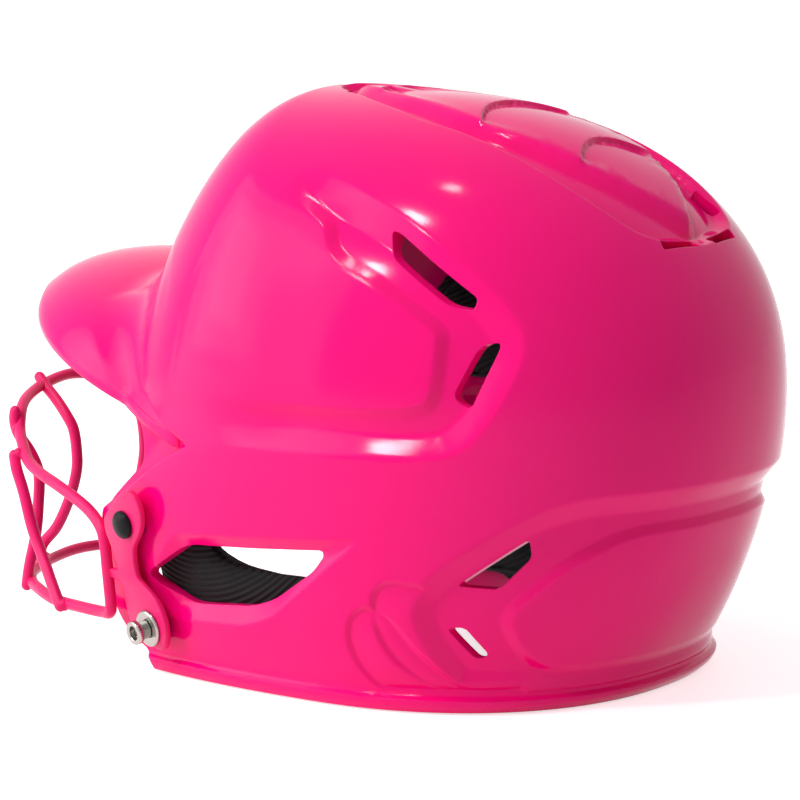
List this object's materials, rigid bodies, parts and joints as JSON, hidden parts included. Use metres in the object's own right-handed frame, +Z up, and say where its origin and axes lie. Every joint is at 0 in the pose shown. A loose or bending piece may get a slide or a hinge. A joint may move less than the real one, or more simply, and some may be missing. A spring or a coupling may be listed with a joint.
{
  "type": "softball batting helmet",
  "caption": "Double-flap batting helmet with a layered vented shell, a short brim, a wire face guard on side plates, strap studs and padding.",
  "frame": {"origin": "middle of the bounding box, at the bottom rim", "axes": "+Z up, -Y to the wearer's front, +X to the wearer's left"},
  "size_m": [0.1996, 0.3028, 0.202],
  "materials": {
    "shell_gloss": "gloss moulded shell",
    "guard_coating": "satin powder coat",
    "black_screw": "black",
    "nut_steel": "plain",
    "stud_chrome": "bright",
    "spacer_rubber": "matte",
    "liner_foam": "matte foam",
    "pad_fabric": "black knit over foam"
  },
  "bodies": {
    "root": {"shell": "shell_gloss", "guard_frame_wire": "guard_coating", "guard_left_inner_bar": "guard_coating", "guard_right_inner_bar": "guard_coating", "guard_left_middle_bar": "guard_coating", "guard_right_middle_bar": "guard_coating", "guard_left_outer_bar": "guard_coating", "guard_right_outer_bar": "guard_coating", "guard_left_plate": "guard_coating", "guard_right_plate": "guard_coating", "guard_left_screw": "black_screw", "guard_right_screw": "black_screw", "guard_left_spacer": "spacer_rubber", "guard_right_spacer": "spacer_rubber", "guard_left_nut": "nut_steel", "guard_right_nut": "nut_steel", "strap_left_stud": "stud_chrome", "strap_right_stud": "stud_chrome", "strap_left_washer": "stud_chrome", "strap_right_washer": "stud_chrome", "strap_left_nut": "nut_steel", "strap_right_nut": "nut_steel", "crown_liner": "liner_foam", "front_pad": "pad_fabric", "rear_pad": "pad_fabric", "left_side_pad": "pad_fabric", "right_side_pad": "pad_fabric", "left_rear_side_pad": "pad_fabric", "right_rear_side_pad": "pad_fabric", "left_ear_pad": "pad_fabric", "right_ear_pad": "pad_fabric"}
  },
  "joints": []
}
